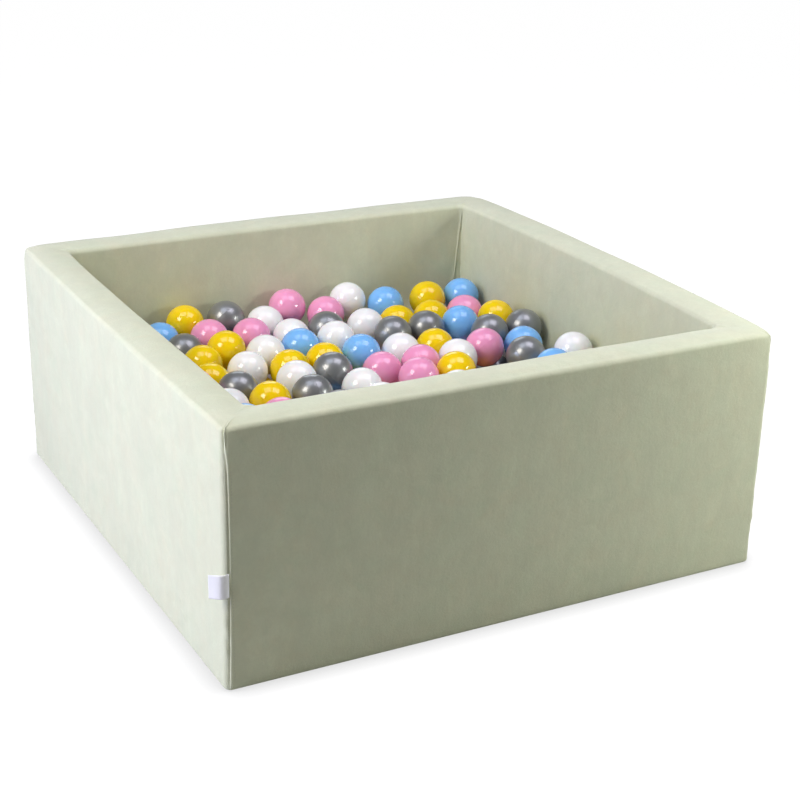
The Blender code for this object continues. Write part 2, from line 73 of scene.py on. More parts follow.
# Steps of a wall's section round its foot, round each upper edge and over its crown
FOOT_STEPS = 5
EDGE_STEPS = 8
CROWN_STEPS = 8

# The photograph's camera
VIEW_TARGET = Vector((0.0299, -0.0391, 0.200))
VIEW_DISTANCE = 2.7096
VIEW_TURN = math.radians(28.45)
VIEW_FALL = math.radians(21.62)
VIEW_ROLL = math.radians(1.35)
PHOTO_SIZE = 800
PHOTO_FOCAL = 1647.3
SENSOR = 36.0

# Colours, linear
VELVET = (0.620, 0.645, 0.475)
VELVET_GREEN = (0.555, 0.645, 0.432)
VELVET_BROWN = (0.672, 0.620, 0.415)
FOAM = (0.86, 0.84, 0.74)
LINING = (0.52, 0.54, 0.43)
TAB = (0.93, 0.94, 0.95)
THREAD = (0.50, 0.52, 0.40)
ZIP_TAPE = (0.53, 0.55, 0.43)
ZIP_CHAIN = (0.46, 0.48, 0.38)
ZIP_METAL = (0.60, 0.61, 0.60)
BALLS = {
    "white": (0.84, 0.84, 0.82),
    "pink": (0.83, 0.33, 0.53),
    "yellow": (0.86, 0.61, 0.006),
    "blue": (0.20, 0.48, 0.86),
    "silver": (0.23, 0.24, 0.24),
}
COLOUR_SHARES = {"white": 0.24, "pink": 0.20, "yellow": 0.20, "blue": 0.15, "silver": 0.21}

# Balls that show in part between the loose ones: colour and pixel of the middle
HALF_HIDDEN = (
    ("blue", 462, 303), ("yellow", 406, 325), ("silver", 232, 328), ("silver", 321, 328),
    ("white", 259, 331), ("silver", 400, 335), ("blue", 524, 337), ("blue", 157, 338),
    ("yellow", 186, 342), ("yellow", 439, 344), ("pink", 201, 345), ("blue", 289, 352),
    ("white", 398, 354), ("yellow", 213, 359), ("white", 459, 361), ("blue", 551, 363),
    ("yellow", 457, 375), ("yellow", 495, 380), ("yellow", 209, 382), ("silver", 232, 398),
    ("white", 233, 411),
)


def set_inputs(node, values):
    for name, value in values.items():
        node.inputs[name.replace("_", " ")].default_value = value


def add_node(tree, kind, **values):
    """A shader node with values for some of its inputs."""
    node = tree.nodes.new("ShaderNode" + kind)
    set_inputs(node, values)
    return node


class Shader:
    """A node material built step by step around one Principled shader."""

    def __init__(self, name):
        self.material = bpy.data.materials.new(name)
        self.material.use_nodes = True
        self.tree = self.material.node_tree
        self.links = self.tree.links
        self.main = self.tree.nodes["Principled BSDF"]
        self.coordinates = add_node(self.tree, "TexCoord").outputs["Object"]

    def set(self, **values):
        set_inputs(self.main, values)

    def stretched(self, scale):
        mapping = add_node(self.tree, "Mapping", Scale=scale)
        self.links.new(self.coordinates, mapping.inputs["Vector"])
        return mapping.outputs["Vector"]

    def noise(self, scale, detail=3, roughness=0.55, stretch=None, distortion=0.0):
        node = add_node(self.tree, "TexNoise", Scale=scale, Detail=detail)
        set_inputs(node, {"Roughness": roughness, "Distortion": distortion})
        source = self.stretched(stretch) if stretch else self.coordinates
        self.links.new(source, node.inputs["Vector"])
        return node.outputs["Fac"]

    def weave(self, across, upward):
        """Bands across and upwards, of the given scales, that cross like threads."""
        bands = []
        for direction, scale in (("X", across), ("Z", upward)):
            node = add_node(self.tree, "TexWave", Scale=scale, Distortion=0.0)
            node.bands_direction = direction
            self.links.new(self.coordinates, node.inputs["Vector"])
            bands.append(node.outputs["Fac"])
        return self.product(*bands)

    def spread(self, value, low, high, to_low=0.0, to_high=1.0):
        node = add_node(self.tree, "MapRange", From_Min=low, From_Max=high, To_Min=to_low, To_Max=to_high)
        self.links.new(value, node.inputs["Value"])
        return node.outputs["Result"]

    def product(self, first, second):
        node = add_node(self.tree, "Math")
        node.operation = "MULTIPLY"
        self.links.new(first, node.inputs[0])
        if isinstance(second, float):
            node.inputs[1].default_value = second
        else:
            self.links.new(second, node.inputs[1])
        return node.outputs[0]

    def mix(self, factor, first, second):
        node = add_node(self.tree, "Mix")
        node.data_type = "RGBA"
        self.links.new(factor, node.inputs["Factor"])
        for name, value in (("A", first), ("B", second)):
            socket = [s for s in node.inputs if s.name == name and s.type == "RGBA"][0]
            if isinstance(value, tuple):
                socket.default_value = (*value, 1)
            else:
                self.links.new(value, socket)
        return [s for s in node.outputs if s.type == "RGBA"][0]

    def colour(self, value):
        self.links.new(value, self.main.inputs["Base Color"])

    def roughness(self, value):
        self.links.new(value, self.main.inputs["Roughness"])

    def bump(self, height, distance, strength):
        """Adds small relief to what is there already."""
        node = add_node(self.tree, "Bump", Distance=distance, Strength=strength)
        self.links.new(height, node.inputs["Height"])
        previous = self.main.inputs["Normal"].links
        if previous:
            self.links.new(previous[0].from_socket, node.inputs["Normal"])
        self.links.new(node.outputs["Normal"], self.main.inputs["Normal"])


def shade(colour, factor):
    return tuple(min(1.0, channel * factor) for channel in colour)


def velvet_material(name, colour):
    """Short pile: soft patches where the nap lies another way, fine fibres and a pale sheen."""
    shader = Shader(name)
    tints = shader.spread(shader.noise(16.0, detail=6, roughness=0.75, distortion=0.4), 0.38, 0.62)
    patches = shader.spread(shader.noise(10.0, detail=6, roughness=0.7, distortion=0.8), 0.36, 0.64)
    clouds = shader.spread(shader.noise(34.0, detail=4, roughness=0.65, distortion=0.5), 0.34, 0.66)
    brushed = shader.spread(shader.noise(70.0, detail=3, stretch=(1, 1, 0.30)), 0.3, 0.7)
    strokes = shader.spread(shader.noise(20.0, detail=5, roughness=0.65, stretch=(1, 1, 0.35)), 0.36, 0.64)
    tufts = shader.spread(shader.noise(260.0, detail=4), 0.3, 0.7)
    fibres = shader.spread(shader.noise(1100.0, detail=2), 0.3, 0.7)
    tinted = shader.mix(tints, VELVET_GREEN, VELVET_BROWN)
    base = shader.mix(shader.spread(patches, 0, 1, 0.45, 1.0), colour, tinted)
    for pattern, share, factor in (
        (patches, 0.55, 0.84),
        (clouds, 0.55, 1.13),
        (strokes, 0.48, 0.87),
        (brushed, 0.35, 0.88),
        (tufts, 0.30, 0.84),
        (fibres, 0.25, 0.80),
    ):
        base = shader.mix(shader.product(pattern, share), base, shade(colour, factor))
    shader.colour(base)
    shader.set(Roughness=0.92, Specular_IOR_Level=0.12, Sheen_Weight=0.30, Sheen_Roughness=0.45)
    shader.set(Sheen_Tint=(0.97, 1.0, 0.95, 1))
    for pattern, distance, strength in (
        (clouds, 0.0006, 0.30), (brushed, 0.0004, 0.35), (tufts, 0.0003, 0.45), (fibres, 0.0002, 0.5),
    ):
        shader.bump(pattern, distance, strength)
    return shader.material


def cloth_material(name, colour, scale):
    """Plain weave, with bands of the given scale both ways."""
    shader = Shader(name)
    weave = shader.weave(scale, scale)
    stains = shader.spread(shader.noise(25.0), 0.3, 0.7)
    base = shader.mix(weave, shade(colour, 0.86), colour)
    shader.colour(shader.mix(shader.product(stains, 0.3), base, shade(colour, 0.93)))
    shader.set(Roughness=0.85, Specular_IOR_Level=0.2, Sheen_Weight=0.2)
    shader.bump(weave, 0.0002, 0.6)
    return shader.material


def tab_material():
    """Thin white satin ribbon that lets some light through."""
    shader = Shader("tab")
    weave = shader.weave(1400.0, 900.0)
    shader.colour(shader.mix(weave, shade(TAB, 0.94), TAB))
    shader.set(Roughness=0.55, Specular_IOR_Level=0.3, Sheen_Weight=0.4)
    shader.set(Subsurface_Weight=0.15, Subsurface_Radius=(1.0, 1.0, 1.0), Subsurface_Scale=0.002)
    shader.bump(weave, 0.0001, 0.5)
    return shader.material


def foam_material():
    shader = Shader("foam")
    cells = shader.spread(shader.noise(420.0, detail=2), 0.35, 0.65)
    shader.colour(shader.mix(cells, shade(FOAM, 0.80), FOAM))
    shader.set(Roughness=0.95, Specular_IOR_Level=0.1)
    shader.bump(cells, 0.0008, 0.7)
    return shader.material


def ball_material(colour_name):
    """Blown plastic: glossy, with faint ripples and handling marks."""
    colour = BALLS[colour_name]
    shader = Shader("ball_" + colour_name)
    ripples = shader.noise(55.0, detail=1)
    marks = shader.spread(shader.noise(160.0, detail=5, roughness=0.7), 0.45, 0.75)
    shader.colour(shader.mix(shader.spread(ripples, 0.3, 0.7), shade(colour, 0.97), colour))
    if colour_name == "silver":
        shader.roughness(shader.spread(marks, 0.0, 1.0, 0.34, 0.44))
        shader.set(Metallic=0.45, Coat_Weight=0.6, Coat_Roughness=0.10)
        shader.bump(shader.noise(1500.0, detail=1), 0.00005, 0.4)
    else:
        shader.roughness(shader.spread(marks, 0.0, 1.0, 0.07, 0.15))
        shader.set(Subsurface_Weight=0.12, Subsurface_Scale=0.004, Specular_IOR_Level=0.5)
    shader.bump(ripples, 0.0004, 0.10)
    return shader.material


def metal_material():
    shader = Shader("zip_metal")
    scratches = shader.spread(shader.noise(900.0, detail=3, stretch=(1, 1, 0.1)), 0.35, 0.65)
    shader.colour(shader.mix(scratches, shade(ZIP_METAL, 0.8), ZIP_METAL))
    shader.roughness(shader.spread(scratches, 0.0, 1.0, 0.25, 0.42))
    shader.set(Metallic=1.0)
    shader.bump(scratches, 0.00003, 0.5)
    return shader.material


def chain_material():
    shader = Shader("zip_chain")
    wear = shader.spread(shader.noise(300.0), 0.3, 0.7)
    shader.colour(shader.mix(wear, shade(ZIP_CHAIN, 0.85), ZIP_CHAIN))
    shader.set(Roughness=0.42)
    shader.bump(wear, 0.00005, 0.5)
    return shader.material


MATERIALS = {
    "velvet": velvet_material("velvet", VELVET),
    "lining": cloth_material("lining", LINING, 900.0),
    "foam": foam_material(),
    "thread": cloth_material("thread", THREAD, 2500.0),
    "tab": tab_material(),
    "zip_tape": cloth_material("zip_tape", ZIP_TAPE, 1100.0),
    "zip_chain": chain_material(),
    "zip_metal": metal_material(),
}
for colour_name in BALLS:
    MATERIALS["ball_" + colour_name] = ball_material(colour_name)


def add_object(name, data):
    made = bpy.data.objects.new(name, data)
    bpy.context.scene.collection.objects.link(made)
    return made


def new_mesh(name, vertices, faces):
    mesh = bpy.data.meshes.new(name)
    mesh.from_pydata(vertices.tolist(), [], faces)
    mesh.update()
    return mesh


def add_piece(name, mesh, look, body="pit", replaces=(), smooth=True):
    mesh.materials.clear()
    mesh.materials.append(MATERIALS[look])
    if smooth:
        mesh.shade_smooth()
    piece = add_object(name, mesh)
    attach(piece, body)
    if replaces:
        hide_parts(*replaces)
    return piece


def grid_mesh(name, points, close_across=False, opening=None):
    """A mesh from an array of points in rows, with the faces of the opening left out."""
    rows, columns = points.shape[:2]
    index = np.arange(rows * columns).reshape(rows, columns)
    following = np.roll(index, -1, axis=0) if close_across else index[1:]
    current = index if close_across else index[:-1]
    quads = np.stack(
        [current[:, :-1], current[:, 1:], following[:, 1:], following[:, :-1]], axis=-1
    )
    quads = quads.reshape(-1, 4) if opening is None else quads[~opening]
    return new_mesh(name, points.reshape(-1, 3), quads.tolist())


def ripple(seed, count, shortest, longest):
    """A smooth random function of place, between about -1 and 1, from a sum of waves."""
    rng = np.random.default_rng(seed)
    lengths = np.exp(rng.uniform(math.log(shortest), math.log(longest), count))
    directions = rng.normal(size=(count, 3))
    directions /= np.linalg.norm(directions, axis=1)[:, None]
    waves = directions * (2 * math.pi / lengths)[:, None]
    phases = rng.uniform(0, 2 * math.pi, count)

    def value(points):
        return np.sin(points @ waves.T + phases).sum(axis=-1) / math.sqrt(count)

    return value


def wall_places(side, along, depth, height):
    """Places of points of a wall, as arrays, bowed and rounded off near the upright corners."""
    inner_length = HALF_SIDE - depth
    rise = np.clip((height - BASE_TOP) / (HEIGHT - BASE_TOP), 0, None)
    bow = BOW[side] * (1 - (along / inner_length) ** 2) * rise
    radius = CORNER_RADIUS - depth
    corner = HALF_SIDE - CORNER_RADIUS
    beyond = np.abs(along) - corner
    turned = (radius > 0) & (beyond > 0)
    angle = math.radians(45) * np.clip(beyond / np.where(turned, radius, 1), 0, 1)
    x = np.where(turned, np.sign(along) * (corner + radius * np.sin(angle)), along)
    y = np.where(turned, -corner - radius * np.cos(angle), depth - HALF_SIDE) - bow
    turn = math.radians(TURN[side])
    cos, sin = math.cos(turn), math.sin(turn)
    return np.stack([x * cos - y * sin, x * sin + y * cos, height + 0 * x], axis=-1)


def wall_section(inset, face_step):
    """Depth and height around the wall's section, from its foot outside to its foot inside."""
    top = HEIGHT - CROWN
    points = []

    def arc(depth, height, radius, first, last, steps):
        for angle in np.radians(np.linspace(first, last, steps + 1)):
            reach = radius - inset
            points.append((depth - reach * math.cos(angle), height + reach * math.sin(angle)))

    def line(depth, first, last):
        steps = max(2, round(abs(last - first) / face_step))
        points.extend((depth, height) for height in np.linspace(first, last, steps + 1)[1:-1])

    arc(FOOT_EDGE, FOOT_EDGE, FOOT_EDGE, -90, 0, FOOT_STEPS)
    line(inset, FOOT_EDGE, top - OUTER_EDGE)
    arc(OUTER_EDGE, top - OUTER_EDGE, OUTER_EDGE, 0, 90, EDGE_STEPS)
    first, last = OUTER_EDGE, WALL - INNER_EDGE
    for share in np.linspace(-1, 1, CROWN_STEPS + 1)[1:-1]:
        depth = (first + last) / 2 + share * (last - first) / 2
        points.append((depth, top - inset + CROWN * (1 - share**2)))
    arc(WALL - INNER_EDGE, top - INNER_EDGE, INNER_EDGE, 90, 180, EDGE_STEPS)
    line(WALL - inset, top - INNER_EDGE, BASE_BOTTOM + inset)
    points.append((WALL - inset, BASE_BOTTOM + inset))
    return np.array(points)


def wall_grid(section, along_steps, end_steps):
    """Arrays of along, depth and height: one row of the section's points to each station."""
    depth, height = section[:, 0], section[:, 1]
    end = HALF_SIDE - depth
    turn = HALF_SIDE - np.maximum(CORNER_RADIUS, depth + CORNER_EASE)
    straight = np.outer(turn, np.linspace(-1, 1, along_steps + 1))
    ends = turn[:, None] + np.outer(end - turn, np.linspace(0, 1, end_steps + 1)[1:])
    along = np.concatenate([-ends[:, ::-1], straight, ends], axis=1)
    stations = along.shape[1]
    return along, np.repeat(depth[:, None], stations, 1), np.repeat(height[:, None], stations, 1)


def outward(points):
    """Outward normals of a grid of points that runs from the outer foot over the rim."""
    down = np.gradient(points, axis=0)
    across = np.gradient(points, axis=1)
    normal = np.cross(across, down)
    return normal / np.linalg.norm(normal, axis=-1)[..., None]


# Relief of the cover: long waves of the soft foam, pulls from the seams and small puckers
SOFTNESS = ripple(seed=3, count=14, shortest=0.16, longest=0.55)
DRAG = ripple(seed=15, count=12, shortest=0.05, longest=0.14)
PUCKERS = ripple(seed=8, count=18, shortest=0.012, longest=0.035)
SOFT_HEIGHT = 0.0007
DRAG_HEIGHT = 0.0006
DRAG_REACH = 0.050
PUCKER_HEIGHT = 0.0008
PUCKER_REACH = 0.012
PUCKER_LEAST_SHARE = 0.2
# More puckers near the foot and the rim: share, level and width
PUCKER_BANDS = ((1.2, 0.075, 0.035), (0.7, HEIGHT, 0.040))
# Start and reach of fades by depth
OUTSIDE_FADE = (0.004, 0.016)
INSIDE_CLIMB = (WALL - 0.012, 0.010)

# Upright seam of a corner: a groove on the outer faces and a pinched lip over the rim
SEAM_FACE_FADE = (0.001, 0.008)
SEAM_RIM_FADE = (0.004, 0.020)
SEAM_DEPTH = 0.0013
SEAM_FALL_WIDTH = 0.0045
SEAM_FALL_POWER = 1.5
SEAM_RISE_WIDTH = 0.0009
LIP_CLIMB = (0.352, 0.020)
LIP_HEIGHT = 0.0019
LIP_OFFSET = 0.0020
LIP_WIDTH = 0.0016
LINE_DEPTH = 0.0010
LINE_WIDTH = 0.0010
LINE_LEAST_SHARE = 0.3
# How far the seam strays from the mitre, by height
SEAM_LEVELS = (0.0, 0.08, 0.14, 0.20, 0.29, 0.335, 0.365, 0.391)
SEAM_SHIFTS = (0.0040, 0.0065, 0.0075, 0.0080, 0.0070, 0.0055, 0.0010, 0.0)

# How far each upper corner is pinched up, from the front left one to the right and round, and
# how far the cloth droops at a corner that isn't
CORNER_PINCHES = (1.0, 0.40, 0.10, 0.35)
DROOP = 0.0054
DROOP_CLIMB = (0.345, HEIGHT - 0.345)
DROOP_WIDTH = 0.021
DROOP_PINCHED_SHARE = 0.7

# Inner corners: the seam draws the cloth in, most of all near the rim
FILLET = 0.0034
FILLET_WIDTH = 0.008
FILLET_LEAST_SHARE = 0.45
FILLET_CLIMB = (0.350, 0.030)
INNER_PUCKER_HEIGHT = 0.0007
INNER_PUCKER_REACH = 0.014
# The seam in the inner corner at the back right strays from the corner as it goes down
WELT_LEAN = 0.085
WELT_OFFSET = 0.0012
WELT_HEIGHT = 0.0015
WELT_WIDTH = 0.0013
WELT_TOP_FADE = 0.010

# Creases pressed into the cover: side, middle along and height, length, lean and depth
CREASES = (
    ("left", 0.290, 0.062, 0.014, 1.2, 0.0034),
    ("left", 0.300, 0.042, 0.017, 0.1, 0.0030),
    ("left", 0.200, 0.055, 0.022, 0.9, 0.0014),
    ("back", -0.250, 0.050, 0.028, 0.5, 0.0016),
    ("right", 0.300, 0.036, 0.026, -0.5, 0.0014),
)
# The same for the inside of the walls
INNER_CREASES = (
    ("right", 0.372, 0.362, 0.012, 1.1, 0.0020),
    ("right", 0.362, 0.352, 0.010, 0.8, 0.0018),
    ("right", 0.352, 0.372, 0.009, 1.3, 0.0014),
    ("back", -0.340, 0.345, 0.050, -0.7, 0.0007),
    ("back", -0.350, 0.310, 0.040, -1.0, 0.0006),
)
CREASE_EDGE = 0.0012
CREASE_FADE = 0.009

# Slot of the zip at the foot of the back panel, and how the relief fades round it
SLOT_LENGTH = 0.7206
SLOT_HEIGHT = 0.0281
SLOT_MIDDLE = 0.02495
SLOT_FADE = (0.003, 0.012)
GRID_TINY = 1e-6

# Grids of the walls: steps up the faces, and stations along the wall and in each of its ends
COVER_STEP = 0.006
COVER_STATIONS = (130, 28)
FOAM_STEP = 0.010
FOAM_STATIONS = (90, 12)
FLOOR_CLEAR = 0.002
FLOOR_RISE = 0.012
SURFACE_STEP = 0.0005

# Stitches beside the upright seams
STITCH_LOW = 0.016
STITCH_HIGH = 0.326
STITCH_PITCH = 0.0046
STITCH_LENGTH = 0.0030
STITCH_THICK = 0.00035
STITCH_TIP_SHARE = 0.25
STITCH_INSETS = (0.0030, 0.0125)
STITCH_RINGS = 5
STITCH_SIDES = 6


def bell(distance, width):
    return np.exp(-((distance / width) ** 2))


def fade(distance, start, reach):
    """1 up to the start, and from there down to 0 over the reach."""
    return np.clip(1 - (distance - start) / reach, 0, 1)


def climb(distance, start, reach):
    """0 up to the start, and from there up to 1 over the reach."""
    return np.clip((distance - start) / reach, 0, 1)


def crease_relief(run, rise, length, lean, deep):
    """A short crease that leans: the cloth above it sags over its lower edge."""
    line = rise * math.cos(lean) - run * math.sin(lean)
    run = run * math.cos(lean) + rise * math.sin(lean)
    shape = np.clip(line / CREASE_EDGE + 0.5, 0, 1) * np.exp(-np.clip(line, 0, 1) / CREASE_FADE)
    return deep * shape * bell(run, length)


def creases_relief(creases, side, along, height):
    """All creases that a table has for one side."""
    relief = np.zeros(along.shape)
    for crease_side, middle, level, *form in creases:
        if crease_side == side:
            relief += crease_relief(along - middle, height - level, *form)
    return relief


def seam_relief(across, depth, height, pinch):
    """The upright seam of a corner: a groove that the cloth to its left falls into.

    Across is the distance from the mitre, to the right as seen from outside. Over the rim the
    seam becomes a lip, pinched by the given share, that dies away along the mitre.
    """
    face = fade(depth, *SEAM_FACE_FADE)
    rim = fade(depth, *SEAM_RIM_FADE)
    across = across - np.interp(height, SEAM_LEVELS, SEAM_SHIFTS)
    falling = np.exp(-((np.abs(across) / SEAM_FALL_WIDTH) ** SEAM_FALL_POWER))
    rising = np.exp(-np.abs(across) / SEAM_RISE_WIDTH)
    relief = -SEAM_DEPTH * np.where(across < 0, falling, rising) * face
    over = rim * climb(height, *LIP_CLIMB)
    line = LINE_DEPTH * (LINE_LEAST_SHARE + (1 - LINE_LEAST_SHARE) * pinch)
    relief -= line * over * bell(across, LINE_WIDTH)
    return relief + LIP_HEIGHT * over * pinch * bell(across - LIP_OFFSET, LIP_WIDTH)


def corner_droop(along, depth, height, pinch):
    """How far the cloth droops at an upper corner, by how little it is pinched up."""
    from_corner = np.hypot(HALF_SIDE - np.abs(along), np.clip(depth, 0, None))
    high = climb(height, *DROOP_CLIMB) ** 2
    return DROOP * (1 - DROOP_PINCHED_SHARE * pinch) * high * bell(from_corner, DROOP_WIDTH)


def inner_relief(side, along, height, from_end, puckers):
    """Inside, the corner is drawn in by its seam, and a little cloth gathers along it."""
    upper = climb(height, *FILLET_CLIMB)
    share = FILLET_LEAST_SHARE + (1 - FILLET_LEAST_SHARE) * upper
    relief = FILLET * share * bell(from_end, FILLET_WIDTH)
    relief += INNER_PUCKER_HEIGHT * np.exp(-from_end / INNER_PUCKER_REACH) * puckers
    if side == "back":
        welt = from_end - WELT_LEAN * (HEIGHT - height) - WELT_OFFSET
        raised = (along < 0) * np.clip((HEIGHT - height) / WELT_TOP_FADE, 0, 1)
        relief += WELT_HEIGHT * raised * bell(welt, WELT_WIDTH)
    return relief + creases_relief(INNER_CREASES, side, along, height)


def cover_relief(side, points, along, depth, height, inset=0.0):
    """How far the cloth stands out: soft foam under it, seams that draw it in, and creases.

    The inset tells how far the points lie under the cloth's face: the foam follows the cloth.
    """
    end = HALF_SIDE - depth
    depth = depth - inset * np.sign(WALL / 2 - depth)
    from_end = end - np.abs(along)
    outside = fade(depth, *OUTSIDE_FADE)
    inside = climb(depth, *INSIDE_CLIMB)
    puckers = PUCKERS(points)
    relief = SOFT_HEIGHT * SOFTNESS(points)
    relief += DRAG_HEIGHT * np.exp(-from_end / DRAG_REACH) * DRAG(points)
    across = np.where(along < 0, along + end, along - end)
    number = list(TURN).index(side)
    before = CORNER_PINCHES[number]
    after = CORNER_PINCHES[(number + 1) % len(CORNER_PINCHES)]
    pinch = np.where(along < 0, before, after)
    relief += seam_relief(across, depth, height, pinch)
    relief -= corner_droop(along, depth, height, pinch)
    busy = PUCKER_LEAST_SHARE
    for share, level, width in PUCKER_BANDS:
        busy = busy + share * bell(height - level, width)
    relief += PUCKER_HEIGHT * np.exp(-from_end / PUCKER_REACH) * outside * busy * puckers
    relief += inside * inner_relief(side, along, height, from_end, puckers)
    relief += creases_relief(CREASES, side, along, height) * (depth < COVER)
    if side == "back":
        relief *= 1 - zip_slot_share(along, height) * (depth < WALL / 2)
    return relief


def zip_slot_share(along, height):
    """1 in the slot of the zip and at its edges, and less beside it."""
    beside = np.maximum(np.abs(along) - SLOT_LENGTH / 2, np.abs(height - SLOT_MIDDLE) - SLOT_HEIGHT / 2)
    return fade(beside, *SLOT_FADE)


def cut_slot(along, depth, height):
    """Moves the nearest rows and stations to the slot's edges and tells which faces lie in it."""
    face = np.flatnonzero((depth[:, 0] < GRID_TINY) & (height[:, 0] < HEIGHT / 2))
    rows = []
    stations = []
    for end in (-0.5, 0.5):
        level = SLOT_MIDDLE + end * SLOT_HEIGHT
        rows.append(face[np.argmin(np.abs(height[face, 0] - level))])
        height[rows[-1]] = level
        place = end * SLOT_LENGTH
        stations.append(np.argmin(np.abs(along[face[0]] - place)))
        along[face, stations[-1]] = place
    opening = np.zeros((along.shape[0] - 1, along.shape[1] - 1), bool)
    opening[slice(*rows), slice(*stations)] = True
    return opening


def relieved_points(side, along, depth, height, inset=0.0):
    """A wall's points moved out by the cover's relief, which dies away at the floor."""
    points = wall_places(side, along, depth, height)
    relief = cover_relief(side, points, along, depth, height, inset)
    relief *= np.clip((height - FLOOR_CLEAR - inset) / FLOOR_RISE, 0, 1)
    return points + outward(points) * relief[..., None]


def thicken(piece, thickness, offset):
    """Gives a sheet its thickness: offset -1 is inwards from its face, and 0 to both sides."""
    layer = piece.modifiers.new("thickness", "SOLIDIFY")
    layer.thickness = thickness
    layer.offset = offset
    layer.use_even_offset = False


def build_cover(side):
    """A wall's velvet panel, with the slot of the zip in the back one."""
    section = wall_section(0.0, COVER_STEP)
    along, depth, height = wall_grid(section, *COVER_STATIONS)
    opening = cut_slot(along, depth, height) if side == "back" else None
    mesh = grid_mesh("cover_" + side, relieved_points(side, along, depth, height), opening=opening)
    piece = add_piece("velvet_" + side, mesh, "velvet", replaces=("cover_" + side,))
    thicken(piece, COVER, -1)


def cloth_surface(side, along, depth, height):
    """Points on the cloth's face, with the outward normals and the ways along the wall there."""
    step = SURFACE_STEP
    points = wall_places(side, along, depth, height)
    across = wall_places(side, along + step, depth, height) - wall_places(side, along - step, depth, height)
    upward = wall_places(side, along, depth, height + step) - wall_places(side, along, depth, height - step)
    normal = np.cross(across, upward)
    normal /= np.linalg.norm(normal, axis=-1)[..., None]
    across /= np.linalg.norm(across, axis=-1)[..., None]
    relief = cover_relief(side, points, along, depth, height)
    return points + normal * relief[..., None], normal, across


def stitch_faces(corners):
    """Faces of one stitch: those round it, and one over each of its ends."""
    beside = np.roll(corners, -1, axis=0)
    sides = np.stack([corners[:, :-1], beside[:, :-1], beside[:, 1:], corners[:, 1:]], axis=-1)
    return [*sides.reshape(-1, 4).tolist(), corners[::-1, 0].tolist(), corners[:, -1].tolist()]


def build_stitches(side):
    """Two upright rows of short stitches, one on each side of the seam at a wall's left end."""
    shares = np.linspace(0, 1, STITCH_RINGS)
    starts = np.arange(STITCH_LOW, STITCH_HIGH, STITCH_PITCH)
    height = (starts[:, None] + shares * STITCH_LENGTH).ravel()
    raised = np.tile(np.sin(math.pi * shares), len(starts))[:, None]
    thick = STITCH_THICK * (STITCH_TIP_SHARE + (1 - STITCH_TIP_SHARE) * raised)
    vertices = []
    for inset in STITCH_INSETS:
        along = np.full_like(height, inset - HALF_SIDE)
        middle, normal, across = cloth_surface(side, along, 0.0 * height, height)
        middle = middle + normal * (raised - 0.5) * STITCH_THICK
        for turn in np.arange(STITCH_SIDES) * 2 * math.pi / STITCH_SIDES:
            vertices.append(middle + (normal * math.cos(turn) + across * math.sin(turn)) * thick)
    vertices = np.concatenate(vertices)
    corners = np.arange(len(vertices))
    corners = corners.reshape(len(STITCH_INSETS), STITCH_SIDES, len(starts), STITCH_RINGS)
    faces = []
    for row in corners:
        for number in range(len(starts)):
            faces += stitch_faces(row[:, number])
    add_piece("stitches_" + side, new_mesh("stitches_" + side, vertices, faces), "thread")


def build_foam(side):
    """A wall's foam, closed at both ends, just under the face of the cloth."""
    section = wall_section(FOAM_INSET, FOAM_STEP)
    along, depth, height = wall_grid(section, *FOAM_STATIONS)
    points = relieved_points(side, along, depth, height, FOAM_INSET)
    mesh = grid_mesh("foam_" + side, points, close_across=True)
    bm = bmesh.new()
    bm.from_mesh(mesh)
    bmesh.ops.holes_fill(bm, edges=[edge for edge in bm.edges if edge.is_boundary])
    bmesh.ops.recalc_face_normals(bm, faces=bm.faces)
    bm.to_mesh(mesh)
    bm.free()
    piece = add_piece("foam_core_" + side, mesh, "foam", replaces=("foam_wall_" + side,), smooth=False)


# Slabs: how far their rounded edges drop, and the waves of the pit's floor
SLAB_DROP_SHARE = 0.35
FOAM_SLAB_EDGE = 0.006
CLOTH_SLAB_EDGE = 0.010
SLAB_WAVE_FADE = 0.030
FLOOR_WAVINESS = 0.0006
FLOOR_SINK = 0.0008


def slab_mesh(name, low, high, radius, cells, waviness, seed):
    """A soft slab: a box with rounded edges whose top is a fine, slightly wavy grid."""
    bm = bmesh.new()
    bmesh.ops.create_cube(bm, size=1)
    level_edges = [edge for edge in bm.edges if edge.verts[0].co.z == edge.verts[1].co.z]
    bmesh.ops.subdivide_edges(bm, edges=level_edges, cuts=cells, use_grid_fill=True)
    middle = (Vector(low) + Vector(high)) / 2
    size = Vector(high) - Vector(low)
    wave = ripple(seed, count=16, shortest=0.08, longest=0.40)
    for vert in bm.verts:
        vert.co = vert.co * size + middle
        reach = min(size.x / 2 - abs(vert.co.x - middle.x), size.y / 2 - abs(vert.co.y - middle.y))
        drop = max(0.0, 1 - reach / radius) ** 2 * size.z * SLAB_DROP_SHARE
        up = vert.co.z > middle.z
        vert.co.z += -drop if up else drop
        if up:
            rise = waviness * float(wave(np.array(vert.co)[None])[0])
            vert.co.z += rise * min(1, reach / SLAB_WAVE_FADE)
    mesh = bpy.data.meshes.new(name)
    bm.to_mesh(mesh)
    bm.free()
    return mesh


